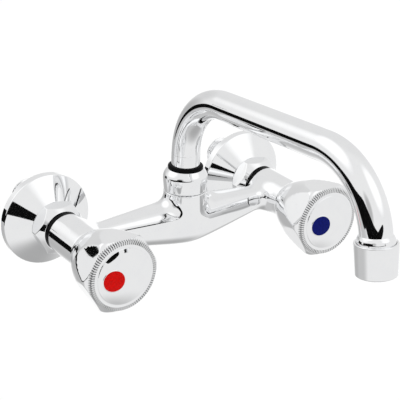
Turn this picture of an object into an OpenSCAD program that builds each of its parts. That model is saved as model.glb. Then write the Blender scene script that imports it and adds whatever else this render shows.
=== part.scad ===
/* [Body] */
// Distance between the two wall inlets
inlet_spacing = 150; // [130:1:170]
// Diameter of the two arms that carry the valves
arm_d = 26; // [25:0.5:30]
// Distance from the wall to the front face of an arm
arm_reach = 58.8; // [58:0.1:62]
// Diameter of the boss that carries the spout
boss_d = 26.8; // [26:0.1:28]
// Thickness of the bridge casting under the spout
bridge_centre_d = 28; // [27.4:0.2:30]
// Thickness of the bridge casting beside an arm
bridge_end_d = 15; // [13:0.5:18]
// Distance from the wall to the spout's swivel axis
swivel_reach = 46.1; // [44:0.1:50]
// Height of the swivel nut's lower edge above the arm axis
boss_height = 19.7; // [18:0.1:24]

/* [Wall side] */
// Diameter of a wall flange
flange_d = 59; // [54:1:72]
// Depth of a wall flange, measured from the wall
flange_depth = 14.2; // [13.6:0.1:14.4]
// Height of the rim edge of a wall flange
flange_rim = 4.8; // [3:0.1:5.5]
// Offset of the wall thread above the arm axis
eccentricity = 7; // [4:0.5:8]
// Length of the wall thread behind the wall plane
wall_thread = 24; // [16:1:30]
// Width across the flats of a union nut
nut_flats = 30; // [30:0.5:33]

/* [Handles] */
// Largest diameter of a handle
knob_d = 49.6; // [48.8:0.2:54]
// Diameter of the domed face inside the handle's knurled ring
knob_face_d = 35; // [32:0.2:38]
// Length of a handle
knob_length = 42; // [41.5:0.1:46]
// Radius of the domed handle face
dome_r = 46; // [40:1:90]
// Distance of a milled flat from the handle axis, at the rim
flat_reach = 21.9; // [21.6:0.1:23]
// Diameter of the coloured index disc
index_d = 13.6; // [12:0.2:15]
// Distance of the index disc from the handle axis
index_offset = 8.2; // [7:0.1:9]

/* [Spout] */
// Outer diameter of the spout tube
tube_d = 18; // [17.6:0.1:18]
// Wall thickness of the spout tube
tube_wall = 1; // [0.8:0.1:1.4]
// Bend radius above the swivel
rise_bend = 42; // [32:1:46]
// Length of the straight run between the bends
run_length = 90.8; // [60:0.2:220]
// Bend radius before the outlet
drop_bend = 43; // [36:1:60]
// Upward slope of the straight run, in degrees
run_slope = 3.65; // [0:0.05:8]
// Outward lean of the outlet, in degrees
outlet_lean = 7; // [0:0.5:15]
// Outer diameter of the aerator sleeve
sleeve_d = 23.8; // [23.8:0.1:27]
// Length of the aerator sleeve
sleeve_length = 18; // [17.5:0.5:22]

/* [Hidden] */

$fn = 72;
// Small overlap that keeps cutters clear of coincident faces
cut = 0.5;
// Clearances: turning fit, sliding fit and free gap between moving parts
turning = 0.05;
sliding = 0.1;
gap = 0.3;

// Wall thread and union thread radii of a half and a three-quarter inch pipe
half_inch_r = 10.48;
three_quarter_r = 13.2;
half_bore_r = 7.5;
// Shoulder of the eccentric block round the wall thread
block_step = 0.3;
union_bore_r = 8.5;

// Stations along an arm, measured from the wall
union_front = 20.6;
seal_thick = 2;
tail_start = union_front + seal_thick;
clip_start = tail_start + 0.5;
clip_thick = 1.2;
nut_front = 26.4;
nut_back = 14.7;
nut_lip = clip_start + clip_thick + 0.1;
collar_end = nut_front + 3.9;
collar_thick = 0.6;
neck_r = 12;
arm_r = arm_d / 2;

// Valve seat, chamber and bonnet stations along an arm
seat_face = collar_end + 3.7;
seat_back = seat_face - 3;
seat_hole_r = 6;
seat_lip_r = 7.2;
bonnet_collar = arm_reach + 0.5;
bonnet_collar_r = 11.2;
bonnet_collar_length = 2.2;
bonnet_hex_length = 6.8;
bonnet_neck_length = 7;
bonnet_hex = bonnet_collar + bonnet_collar_length;
bonnet_neck = bonnet_hex + bonnet_hex_length;
bonnet_top = bonnet_neck + bonnet_neck_length;
bonnet_neck_r = 6.4;
wrench_flats = 17;

// Spindle and carrier sizes
stem_r = 4;
stem_drive_length = 16.5;
stem_top = bonnet_top + stem_drive_length;
stem_ring_at = bonnet_neck + 2;
screw_r = 2.95;
shoulder_r = 5.5;
shoulder_base = arm_reach + 1.3;
shoulder_thick = 2.4;
carrier_flats = 11;
lift = 4;
jumper_base = seat_face + gap;
jumper_thick = 2.7;
carrier_base = jumper_base + jumper_thick;
carrier_disc = 2.5;
bonnet_nose = carrier_base + carrier_disc + lift + 0.7;
carrier_top = shoulder_base - gap - lift - 0.5;
jumper_r = 7.8;
jumper_screw_r = 1.5;
stem_ring_section = 0.65;
ring_squeeze = 0.01;

// Handle stations, measured from the wall
knob_back = arm_reach + 0.5;
knob_front = knob_back + knob_length;
knob_r = knob_d / 2;
knob_face_r = knob_face_d / 2;
knob_mouth_r = 13.1;
knob_hollow_r = 19.2;
// Radius and distance from the mouth of each step of the bell, outside and inside
bell_steps = [[14.8, 2.2], [16.4, 5], [18.1, 8.5], [19.75, 12.7], [21.25, 17.7], [22.8, 23.2]];
hollow_steps = [[11.7, 3], [15.2, 8.5], [17, 12.7], [18.4, 17.7], [knob_hollow_r, 23.2]];
// Front of the knurled ring, a shallow step behind the edge of the dome
ring_front = knob_front - dome_r + sqrt(dome_r * dome_r - knob_face_r * knob_face_r) - 0.25;
rim_base = ring_front - 5.2;
// The knurled ring stands just inside the milled flats, on a rounded shoulder of the bell
knurl_r = flat_reach - 0.15;
shoulder_steps = [[knob_r, 0], [knob_r - 0.5, 2], [knob_r - 1.8, 3.2], [knurl_r, 3.8]];
flat_count = 6;
flat_angle = 150;
flat_tilt = 3;
hub_r = 6.5;
hub_base = bonnet_top + 1.5;
shell = 1.6;
knob_screw_at = hub_base + 6;
knob_screw_angle = flat_angle - 4 * 360 / flat_count;
index_depth = 1.4;
index_proud = 0.1;
index_tilt = asin(index_offset / dome_r);

// Swivel stations, measured from the arm axis
boss_r = boss_d / 2;
nut_r = 13.95;
nut_seam = 0.4;
neck_top = boss_height + 9.3;
swivel_neck_r = 12.2;
nut_shoulder = boss_height + 8.9;
nut_top = boss_height + 14.5;
ring_top = nut_top + 2.3;
ring_r = 11;
spigot_r = 10.4;
socket_r = 9.9;
socket_floor = -7;
tail_base = 5;
tail_shoulder = neck_top + gap;
tail_shoulder_r = 11.2;
tail_top = tail_shoulder + 1.95;
tail_bore_r = 7;
tail_ring_section = 0.85;
ring_gap = 0.02;
tail_ring_low = tail_base + 4;
tail_ring_high = tail_base + 9.5;
tube_r = tube_d / 2;
tube_base = boss_height + 1.3;

// Bridge casting and its water way
bridge_r = bridge_centre_d / 2;
bridge_end_r = bridge_end_d / 2;
bridge_sink = -1;
bridge_end_reach = collar_end + 10.2;
bridge_foot_r = 9.6;
// Ball that covers the seam of the two halves of the bridge
knuckle = 0.15;
water_r = 4.2;
water_reach = seat_face + 5.8;
half_spacing = inlet_spacing / 2;

// Spout path in the vertical plane through the swivel axis
bend_start = 43.9;
bend_lap = 0.8;
bend_thinning = 0.1;
rise_turn = 90 - run_slope;
drop_turn = 90 + run_slope - outlet_lean;
rise_centre = [-swivel_reach - rise_bend, bend_start];
run_start = rise_centre + rise_bend * [cos(rise_turn), sin(rise_turn)];
run_end = run_start + run_length * [-sin(rise_turn), cos(rise_turn)];
drop_centre = run_end - drop_bend * [cos(rise_turn), sin(rise_turn)];
outlet_turn = rise_turn + drop_turn;
outlet = drop_centre + drop_bend * [cos(outlet_turn), sin(outlet_turn)];

// Outlet stations, measured along the outlet axis from the end of the bend
sleeve_r = sleeve_d / 2;
sleeve_end = -sleeve_length;
sleeve_taper = 0.5;
tube_tuck = 4;
ferrule_r = 10.6;
ferrule_top = -1.8;
ferrule_end = -11;
washer_thick = 1.6;
core_top = ferrule_end - washer_thick;
core_flange = 3;
mouth_r = 9.6;
core_r = 9.4;
jet_r = 1.05;
jet_pitch = 3.4;

// Places children on the arm at the given side, with +Z leaving the wall
module on_arm(side) {
    translate([side * half_spacing, 0, 0])
        rotate([90, 0, 0])
            children();
}

// Places children on the upright swivel axis
module on_swivel() {
    translate([0, -swivel_reach, 0])
        children();
}

// Places children at the end of the bend, with -Z along the water jet
module on_outlet() {
    translate([0, outlet[0], outlet[1]])
        rotate([-outlet_lean, 0, 0])
            children();
}

// Round bar or hole from one station to the next
module bar(radius, from, to) {
    translate([0, 0, from])
        cylinder(r = radius, h = to - from);
}

// Hexagonal bar or hole of the given width across flats
module hex_bar(flats, from, to) {
    translate([0, 0, from])
        cylinder(r = flats / sqrt(3), h = to - from, $fn = 6);
}

// Ring of rubber or wire with a round section
module round_ring(radius, section, at) {
    translate([0, 0, at])
        rotate_extrude()
            translate([radius, 0])
                circle(r = section, $fn = 32);
}

// Disc with a hole
module washer(outer, inner, from, to) {
    difference() {
        bar(outer, from, to);
        bar(inner, from - cut, to + cut);
    }
}

// Outside of one half of the bridge, a tapered bar from the centre to an arm
module bridge_half(side) {
    run = [side * (half_spacing - arm_r - 5), swivel_reach - bridge_end_reach, 0];
    span = norm(run);
    turn = atan2(run[1], run[0]);
    translate([0, -swivel_reach, bridge_sink])
        rotate([0, 90, turn]) {
            cylinder(r1 = bridge_r, r2 = bridge_end_r, h = span);
            translate([0, 0, span - cut])
                cylinder(r1 = bridge_end_r, r2 = bridge_foot_r, h = 9);
        }
}

// Water way from a valve chamber to the socket under the spout
module water_way(side) {
    run = [side * (half_spacing - 4), swivel_reach - water_reach, -1];
    span = norm(run);
    turn = atan2(run[1], run[0]);
    drop = acos(run[2] / span);
    translate([0, -swivel_reach, -1])
        rotate([0, drop, turn])
            cylinder(r = water_r, h = span);
}

// Arm with its tail, neck and valve chamber
module arm_outside() {
    bar(neck_r, tail_start, collar_end + cut);
    bar(arm_r, collar_end, arm_reach);
}

module arm_inside() {
    bar(union_bore_r, tail_start - cut, seat_back);
    bar(seat_hole_r, seat_back - cut, seat_face + cut);
    difference() {
        bar(half_inch_r, seat_face - 1, arm_reach + cut);
        bar(seat_lip_r, seat_face - 2, seat_face);
    }
    difference() {
        bar(neck_r + cut, clip_start, clip_start + clip_thick);
        bar(neck_r - 0.8, clip_start - cut, clip_start + clip_thick + cut);
    }
}

module body() {
    color("silver")
        difference() {
            union() {
                for (side = [-1, 1]) {
                    on_arm(side)
                        arm_outside();
                    bridge_half(side);
                }
                translate([0, -swivel_reach, bridge_sink])
                    rotate([0, 90, 0])
                        sphere(r = bridge_r + knuckle);
                on_swivel()
                    bar(boss_r, bridge_sink, boss_height);
                on_swivel()
                    bar(swivel_neck_r, boss_height - cut, neck_top);
            }
            for (side = [-1, 1]) {
                on_arm(side)
                    arm_inside();
                water_way(side);
            }
            on_swivel()
                bar(socket_r, tail_base - 2, neck_top + cut);
            on_swivel()
                bar(socket_r - 1.5, socket_floor, tail_base);
        }
}

// Eccentric union between the wall fitting and the union nut
module wall_union(side) {
    color("silver")
        on_arm(side)
            difference() {
                union() {
                    bar(three_quarter_r, 0, union_front);
                    hull($fn = 32) {
                        bar(three_quarter_r, 0, 6);
                        translate([0, eccentricity, 0])
                            bar(half_inch_r + block_step, 0, 6);
                    }
                    translate([0, eccentricity, 0])
                        bar(half_inch_r, -wall_thread, cut);
                }
                bar(union_bore_r, 2, union_front + cut);
                translate([0, eccentricity, 0])
                    bar(half_bore_r, -wall_thread - cut, 4);
            }
}

// Wall flange, a thin cone with an upright rim and a threaded hub
module flange(side) {
    flange_r = flange_d / 2;
    hub_end_r = three_quarter_r + 1.4;
    color("silver")
        on_arm(side)
            rotate_extrude()
                polygon([[flange_r - 1.4, 0], [flange_r, 0], [flange_r, flange_rim - 0.8],
                         [flange_r - 0.25, flange_rim - 0.25], [flange_r - 0.8, flange_rim],
                         [hub_end_r + 0.9, flange_depth - 0.6], [hub_end_r, flange_depth],
                         [three_quarter_r, flange_depth], [three_quarter_r, flange_depth - 5],
                         [hub_end_r + 0.8, flange_depth - 5],
                         [hub_end_r + 3.4, flange_depth - 3.2],
                         [flange_r - 1.4, flange_rim - 1.4]]);
}

// Union nut, a hexagon with both ends turned down, threads and a front lip
module union_nut(side) {
    corner_r = nut_flats / sqrt(3);
    color("silver")
        on_arm(side)
            difference() {
                intersection() {
                    hex_bar(nut_flats, nut_back, nut_front);
                    rotate_extrude()
                        polygon([[0, nut_back], [nut_flats / 2 + 0.5, nut_back],
                                 [corner_r, nut_back + 2.9], [corner_r, nut_front - 5.2],
                                 [nut_flats / 2 - 1.8, nut_front], [0, nut_front]]);
                }
                bar(three_quarter_r, nut_back - cut, nut_lip);
                bar(neck_r + turning, nut_lip - cut, nut_front + cut);
            }
}

// Open ring that holds the union nut on the tail
module clip(side) {
    color("goldenrod")
        on_arm(side)
            difference() {
                washer(three_quarter_r - 0.1, neck_r - 0.8, clip_start, clip_start + clip_thick);
                translate([-1.5, -three_quarter_r - cut, clip_start - cut])
                    cube([3, three_quarter_r, clip_thick + 2 * cut]);
            }
}

// Fibre washer that seals the tail against the eccentric union
module seal(side) {
    color("dimgray")
        on_arm(side)
            washer(neck_r - 0.2, union_bore_r, union_front, tail_start);
}

// Black ring that closes the neck between the union nut and the arm
module collar(side) {
    color("black")
        on_arm(side)
            washer(neck_r + collar_thick, neck_r, nut_front + 0.2, collar_end);
}

// Valve headwork screwed into the arm, hollow for the spindle and the carrier
module bonnet(side) {
    color("darkgoldenrod")
        on_arm(side)
            difference() {
                union() {
                    bar(half_inch_r, bonnet_nose, bonnet_collar + cut);
                    bar(bonnet_collar_r, bonnet_collar, bonnet_hex);
                    hex_bar(wrench_flats, bonnet_hex - cut, bonnet_neck);
                    bar(bonnet_neck_r, bonnet_neck - cut, bonnet_top);
                }
                hex_bar(carrier_flats + 2 * sliding, bonnet_nose - cut, shoulder_base - gap);
                bar(shoulder_r + turning, shoulder_base - gap - cut,
                    shoulder_base + shoulder_thick + turning);
                bar(stem_r + turning, shoulder_base, bonnet_top + cut);
            }
}

// Flat gasket between the arm and the bonnet collar
module gasket(side) {
    color("dimgray")
        on_arm(side)
            washer(bonnet_collar_r, half_inch_r, arm_reach, bonnet_collar);
}

// Spindle with a screw that drives the carrier and a serrated drive end
module spindle(side) {
    color("darkgoldenrod")
        on_arm(side)
            difference() {
                union() {
                    bar(screw_r, carrier_base + 5.6, shoulder_base + cut);
                    bar(shoulder_r, shoulder_base, shoulder_base + shoulder_thick);
                    bar(stem_r, shoulder_base, bonnet_top + 1);
                    translate([0, 0, bonnet_top])
                        cylinder(r = stem_r, h = stem_top - bonnet_top, $fn = 12);
                }
                washer(stem_r + 1, stem_r + ring_squeeze - 2 * stem_ring_section,
                       stem_ring_at - stem_ring_section - sliding,
                       stem_ring_at + stem_ring_section + sliding);
            }
}

// Rubber ring in the spindle groove
module stem_ring(side) {
    color("black")
        on_arm(side)
            round_ring(stem_r + ring_squeeze - stem_ring_section, stem_ring_section,
                       stem_ring_at);
}

// Carrier that slides in the bonnet and holds the rubber jumper
module carrier(side) {
    color("darkgoldenrod")
        on_arm(side)
            difference() {
                union() {
                    bar(jumper_r + 0.6, carrier_base, carrier_base + carrier_disc);
                    hex_bar(carrier_flats, carrier_base + cut, carrier_top);
                }
                bar(screw_r + turning, carrier_base + 1.2, carrier_top + cut);
                bar(jumper_screw_r, carrier_base - cut, carrier_base + 1.2 + cut);
            }
}

module jumper(side) {
    color("black")
        on_arm(side)
            washer(jumper_r, jumper_screw_r, jumper_base, carrier_base);
}

module jumper_screw(side) {
    color("goldenrod")
        on_arm(side) {
            bar(3.2, jumper_base - 1.1, jumper_base);
            bar(jumper_screw_r, jumper_base - cut, carrier_base + 1);
        }
}

// Handle outside before the flats are milled, the dome's poles turned away from the disc
module knob_blank() {
    rotate_extrude()
        polygon(concat([[0, knob_back], [knob_mouth_r, knob_back]],
                       [for (step = bell_steps) [step[0], knob_back + step[1]]],
                       [[knob_r - 0.1, rim_base - 1]],
                       [for (step = shoulder_steps) [step[0], rim_base + step[1]]],
                       [[knurl_r, ring_front - 0.25], [knurl_r - 0.25, ring_front],
                        [0, ring_front]]));
    intersection() {
        translate([0, 0, knob_front - dome_r])
            rotate([90, 0, 0])
                sphere(r = dome_r);
        bar(knob_face_r, ring_front - cut, knob_front + cut);
    }
}

// One milled flat, slightly closer to the axis at the back
module knob_flat(angle) {
    rotate([0, 0, angle])
        translate([flat_reach, 0, rim_base])
            rotate([0, flat_tilt, 0])
                translate([0, -knob_r, -2 * knob_length])
                    cube([knob_r, 2 * knob_r, 4 * knob_length]);
}

// Hollow of the handle that takes the bonnet, with room for the hub and its ribs
module knob_hollow() {
    difference() {
        rotate_extrude()
            polygon(concat([[0, knob_back - cut], [hollow_steps[0][0], knob_back - cut]],
                           [for (step = hollow_steps) [step[0], knob_back + step[1]]],
                           [[knob_hollow_r, ring_front - 4], [17, ring_front - shell],
                            [0, ring_front - shell]]));
        bar(hub_r, hub_base, knob_front);
        for (angle = [0:90:270])
            rotate([0, 0, angle + flat_angle])
                translate([0, -shell / 2, hub_base + 8])
                    cube([knob_r, shell, knob_length]);
    }
}

module knob(side) {
    color("silver")
        on_arm(side)
            difference() {
                knob_blank();
                for (step = [0:flat_count - 1])
                    knob_flat(flat_angle + step * 360 / flat_count);
                knob_hollow();
                translate([0, 0, hub_base - cut])
                    cylinder(r = stem_r, h = stem_top - hub_base + cut, $fn = 12);
                translate([0, 0, knob_screw_at])
                    rotate([90, 0, knob_screw_angle + 90])
                        cylinder(r = 2, h = knob_r);
                index_place()
                    bar(index_d / 2, -index_depth, index_depth + 1);
            }
}

// Places children on the dome where the index disc sits, with +Z along its normal
module index_place() {
    translate([0, 0, knob_front - dome_r])
        rotate([0, -index_tilt, 0])
            translate([0, 0, dome_r])
                children();
}

// Coloured disc let into the handle face, with the same dome on top
module index_disc(side, tint) {
    color(tint)
        on_arm(side)
            index_place()
                rotate_extrude()
                    intersection() {
                        translate([0, -index_depth])
                            square([index_d / 2, 2 * index_depth]);
                        translate([0, index_proud - dome_r])
                            circle(r = dome_r, $fn = 360);
                    }
}

// Grub screw that clamps the handle on the spindle
module knob_screw(side) {
    color("dimgray")
        on_arm(side)
            translate([0, 0, knob_screw_at])
                rotate([90, 0, knob_screw_angle + 90])
                    difference() {
                        bar(2, stem_r, hub_r + 0.5);
                        hex_bar(2, hub_r - 1.5, hub_r + 1);
                    }
}

// Plain nut with a domed shoulder that holds the spout down
module swivel_nut() {
    color("silver")
        on_swivel()
            rotate_extrude()
                polygon([[swivel_neck_r, boss_height + nut_seam], [nut_r - 0.9, boss_height + nut_seam],
                         [nut_r - 0.6, boss_height + nut_seam + 0.5],
                         [nut_r - 0.1, nut_shoulder - 3], [nut_r, nut_shoulder - 1],
                         [nut_r - 0.1, nut_shoulder + 1], [nut_r - 0.6, nut_shoulder + 2.5],
                         [nut_r - 1.4, nut_shoulder + 3.8], [nut_r - 2.75, nut_top],
                         [spigot_r, nut_top],
                         [spigot_r, tail_top + gap], [tail_shoulder_r + gap, tail_top + gap],
                         [tail_shoulder_r + gap, neck_top], [swivel_neck_r, neck_top]]);
}

// Black bearing ring between the swivel nut and the tube
module swivel_ring() {
    color("black")
        on_swivel()
            rotate_extrude()
                polygon([[tube_r + 0.06, tail_top + gap + 0.1], [spigot_r, tail_top + gap + 0.1],
                         [spigot_r, nut_top], [ring_r - 0.5, nut_top], [ring_r, nut_top + 0.6],
                         [ring_r, ring_top - 0.9], [ring_r - 0.4, ring_top - 0.3],
                         [ring_r - 1, ring_top], [tube_r + 0.06, ring_top]]);
}

// Brass tail brazed on the tube, with two grooves for rubber rings
module spout_tail() {
    tail_r = socket_r - turning;
    color("goldenrod")
        on_swivel()
            difference() {
                union() {
                    bar(tail_r, tail_base, tail_shoulder + cut);
                    bar(tail_shoulder_r, tail_shoulder, tail_top);
                }
                bar(tail_bore_r, tail_base - cut, tail_top + cut);
                bar(tube_r, tube_base, tail_top + cut);
                for (at = [tail_ring_low, tail_ring_high])
                    washer(tail_r + 1, socket_r - ring_gap - 2 * tail_ring_section,
                           at - tail_ring_section - sliding, at + tail_ring_section + sliding);
            }
}

// Rubber ring between the tail and the socket
module tail_ring(at) {
    color("black")
        on_swivel()
            round_ring(socket_r - ring_gap - tail_ring_section, tail_ring_section, at);
}

// Solid that follows the spout path; each bend laps a little into the straights beside it
module spout_bar(radius, extra) {
    on_swivel()
        bar(radius, tube_base - extra, bend_start);
    translate([0, rise_centre[0], rise_centre[1]])
        rotate([90, 0, 90])
            bend(radius, rise_bend, 0, rise_turn);
    translate([0, run_start[0], run_start[1]])
        rotate([90 - run_slope, 0, 0])
            bar(radius, 0, run_length);
    translate([0, drop_centre[0], drop_centre[1]])
        rotate([90, 0, 90])
            bend(radius, drop_bend, rise_turn, drop_turn);
    on_outlet()
        bar(radius, -tube_tuck - extra, 0);
}

// One bend about the origin, a hair thinner than the straights because it is drawn round
module bend(radius, bend_radius, from, turn) {
    rotate([0, 0, from - bend_lap])
        rotate_extrude(angle = turn + 2 * bend_lap)
            translate([bend_radius, 0])
                circle(r = radius - bend_thinning);
}

module spout_tube() {
    color("silver")
        difference() {
            spout_bar(tube_r, 0);
            spout_bar(tube_r - tube_wall, cut);
        }
}

// Threaded ferrule brazed on the tube's end
module outlet_ferrule() {
    color("silver")
        on_outlet()
            difference() {
                bar(ferrule_r, ferrule_end, ferrule_top);
                bar(tube_r - tube_wall, ferrule_end - cut, ferrule_top + cut);
                bar(tube_r, -tube_tuck, ferrule_top + cut);
            }
}

module aerator_sleeve() {
    color("silver")
        on_outlet()
            rotate_extrude()
                polygon([[ferrule_r, 0], [sleeve_r - 0.3, 0], [sleeve_r, -0.3],
                         [sleeve_r - sleeve_taper, sleeve_end + 1.2],
                         [sleeve_r - sleeve_taper - 0.3, sleeve_end + 0.4],
                         [sleeve_r - sleeve_taper - 1, sleeve_end],
                         [mouth_r, sleeve_end], [mouth_r, core_top - core_flange],
                         [ferrule_r, core_top - core_flange]]);
}

module aerator_washer() {
    color("black")
        on_outlet()
            washer(ferrule_r, tube_r - tube_wall, core_top, ferrule_end);
}

// Plastic insert with a field of jet holes
module aerator_core() {
    color("gainsboro")
        on_outlet()
            difference() {
                union() {
                    bar(ferrule_r, core_top - core_flange, core_top);
                    bar(core_r, sleeve_end + 0.8, core_top - core_flange + cut);
                }
                bar(tube_r - tube_wall, core_top - core_flange + 0.6, core_top + cut);
                bar(jet_r, sleeve_end, core_top);
                for (step = [0:5])
                    rotate([0, 0, 60 * step]) {
                        translate([jet_pitch, 0, 0])
                            bar(jet_r, sleeve_end, core_top);
                        translate([2 * jet_pitch, 0, 0])
                            bar(jet_r, sleeve_end, core_top);
                        translate([1.5 * jet_pitch, jet_pitch * sqrt(3) / 2, 0])
                            bar(jet_r, sleeve_end, core_top);
                    }
            }
}

body();
wall_union(-1);  // union_left
wall_union(1);  // union_right
flange(-1);  // flange_left
flange(1);  // flange_right
seal(-1);  // seal_left
seal(1);  // seal_right
union_nut(-1);  // nut_left
union_nut(1);  // nut_right
clip(-1);  // clip_left
clip(1);  // clip_right
collar(-1);  // collar_left
collar(1);  // collar_right
bonnet(-1);  // bonnet_left
bonnet(1);  // bonnet_right
gasket(-1);  // gasket_left
gasket(1);  // gasket_right
swivel_nut();
swivel_ring();
spout_tail();
spout_tube();
tail_ring(tail_ring_low);
tail_ring(tail_ring_high);
outlet_ferrule();
aerator_sleeve();
aerator_washer();
aerator_core();
spindle(-1);  // spindle_left
spindle(1);  // spindle_right
stem_ring(-1);  // stem_ring_left
stem_ring(1);  // stem_ring_right
knob(-1);  // knob_left
knob(1);  // knob_right
knob_screw(-1);  // knob_screw_left
knob_screw(1);  // knob_screw_right
index_disc(-1, "red");  // index_left
index_disc(1, "blue");  // index_right
carrier(-1);  // carrier_left
carrier(1);  // carrier_right
jumper(-1);  // jumper_left
jumper(1);  // jumper_right
jumper_screw(-1);  // jumper_screw_left
jumper_screw(1);  // jumper_screw_right
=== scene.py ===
"""Looks of a wall-mounted kitchen mixer tap, built round its packed construction."""

import logging
import math
from dataclasses import dataclass
from enum import Enum
from typing import Sequence

import bpy
import numpy as np
from mathutils import Matrix


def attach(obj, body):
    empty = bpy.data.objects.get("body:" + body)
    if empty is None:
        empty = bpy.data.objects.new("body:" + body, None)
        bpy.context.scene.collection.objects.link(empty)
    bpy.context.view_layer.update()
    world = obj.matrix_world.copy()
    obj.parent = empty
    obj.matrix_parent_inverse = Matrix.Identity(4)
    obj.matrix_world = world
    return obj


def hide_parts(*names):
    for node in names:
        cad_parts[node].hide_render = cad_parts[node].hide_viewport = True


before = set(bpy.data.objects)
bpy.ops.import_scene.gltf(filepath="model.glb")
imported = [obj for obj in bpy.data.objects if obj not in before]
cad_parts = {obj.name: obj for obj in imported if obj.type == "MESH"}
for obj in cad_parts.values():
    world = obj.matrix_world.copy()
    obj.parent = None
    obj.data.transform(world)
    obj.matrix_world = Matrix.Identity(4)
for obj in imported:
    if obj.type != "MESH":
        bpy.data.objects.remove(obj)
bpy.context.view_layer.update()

LOG = logging.getLogger("mixer_tap")
MM = 0.001
TINY = 1e-6
FULL_TURN = 2 * math.pi
WHITE = (1.0, 1.0, 1.0, 1.0)
Array = np.ndarray
Pair, Triple = tuple[float, float], tuple[float, float, float]
Steps = tuple[Triple, ...]
Outline = tuple[tuple[float, float, float, float], ...]
Object, Socket = bpy.types.Object, bpy.types.NodeSocket


class Side(Enum):
    """The two sides of the tap, with the arm axis's X in mm."""

    HOT = -75.0
    COLD = 75.0

    @property
    def suffix(self) -> str:
        """Returns the ending of this side's node names."""
        return "left" if self is Side.HOT else "right"


# Frames and sections


@dataclass(frozen=True)
class Axis:
    """A right-handed place for a turned piece: two radial directions and its axis, in mm."""

    origin: Triple
    radial: Triple
    across: Triple
    along: Triple

    def place(self, radius: Array, angle: Array, station: Array) -> Array:
        """Returns origin + r (cos a, sin a) in the two radial directions + s along the axis."""
        r, a, s = np.broadcast_arrays(radius, angle, station)
        return np.array(self.origin) + self.vector(r * np.cos(a), r * np.sin(a), s)

    def vector(self, out: Array, over: Array, up: Array) -> Array:
        """Returns the vectors with these three components in this frame."""
        pairs = zip((out, over, up), (self.radial, self.across, self.along))
        return sum(part[..., None] * np.array(way) for part, way in pairs)


def arm_axis(side: Side, height: float = 0.0) -> Axis:
    """Returns the axis of one arm, or one above it: stations count from the wall outwards."""
    return Axis((side.value, 0.0, height), (1.0, 0.0, 0.0), (0.0, 0.0, 1.0), (0.0, -1.0, 0.0))


def upright_axis(y: float) -> Axis:
    """Returns an upright axis at that distance off the wall: stations are heights."""
    return Axis((0.0, y, 0.0), (1.0, 0.0, 0.0), (0.0, 1.0, 0.0), (0.0, 0.0, 1.0))


ARC_STEP = math.radians(9)
HALF_SIDE, WHOLE_SIDE = 0.499, 0.98


def rounded(corners: Sequence[Triple], closed: bool, longest: float) -> Sequence[Array]:
    """Joins corners (radius, station, rounding radius) by straight lines and rounds each.

    They go counter-clockwise in that plane. Each arc starts and ends where it touches the two
    lines, so the tangents are exact. It takes half of a side at most, or nearly the whole of a
    side whose far end isn't rounded. A straight stretch longer than the limit is divided evenly.

    Returns:
        The points' radii and stations, and the same two of their unit tangents.
    """
    pts = np.array([c[:2] for c in corners], float)
    count = len(pts)
    runs: list[tuple[Array, Array]] = []
    for i, here in enumerate(pts):
        if not closed and i in (0, count - 1):
            way = pts[1] - pts[0] if i == 0 else pts[-1] - pts[-2]
            runs.append((here[None], (way / np.linalg.norm(way))[None]))
            continue
        before, after = here - pts[i - 1], pts[(i + 1) % count] - here
        length0, length1 = np.linalg.norm(before), np.linalg.norm(after)
        d0, d1 = before / length0, after / length1
        turn = math.atan2(d0[0] * d1[1] - d0[1] * d1[0], float(d0 @ d1))
        half = abs(math.tan(turn / 2))
        room0 = length0 * (HALF_SIDE if closed or i > 1 else WHOLE_SIDE)
        room1 = length1 * (HALF_SIDE if closed or i < count - 2 else WHOLE_SIDE)
        radius = min(corners[i][2], min(room0, room1) / max(half, 1e-9))
        t = np.linspace(0, turn, max(2, math.ceil(abs(turn) / ARC_STEP)) + 1)
        left = np.array([-d0[1], d0[0]])
        normal = (1.0 if turn > 0 else -1.0) * left
        centre = here - d0 * (radius * half) + normal * radius
        cos, sin = np.cos(t)[:, None], np.sin(t)[:, None]
        spoke = -normal
        turned_spoke = cos * spoke + sin * np.array([-spoke[1], spoke[0]])
        runs.append((centre + turned_spoke * radius, cos * d0 + sin * left))
    out_p: list[Array] = []
    out_t: list[Array] = []
    for i, (points, tangents) in enumerate(runs):
        out_p.append(points)
        out_t.append(tangents)
        if not closed and i == count - 1:
            break
        a, b = points[-1], runs[(i + 1) % count][0][0]
        length = float(np.linalg.norm(b - a))
        parts = math.ceil(length / longest)
        if parts > 1:
            f = (np.arange(1, parts) / parts)[:, None]
            out_p.append(a + f * (b - a))
            out_t.append(np.repeat(((b - a) / length)[None], parts - 1, axis=0))
    return *np.concatenate(out_p).T, *np.concatenate(out_t).T


def shifted(steps: Sequence[Triple], r: float, s: float) -> list[Triple]:
    """Returns corners (radius, station, rounding radius) moved by a radius and a station."""
    return [(r + dr, s + ds, rounding) for dr, ds, rounding in steps]


def dome(edge: float, radius: float, base: float, first: float, rounding: float) -> list[Triple]:
    """Returns seven corners of a dome, the last on its axis and the first at a share of its edge.

    At radius r it stands base + root of R^2 - r^2 high, R being its sphere's radius.
    """
    rs = [edge * float(share) for share in np.linspace(first, 0.0, 7)]
    return [(r, base + math.sqrt(radius**2 - r * r), rounding) for r in rs]


# Meshes


def place_object(name: str, data: bpy.types.ID) -> Object:
    """Returns a new object of this data at the origin, linked to the scene."""
    obj = bpy.data.objects.new(name, data)
    bpy.context.scene.collection.objects.link(obj)
    return obj


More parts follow.
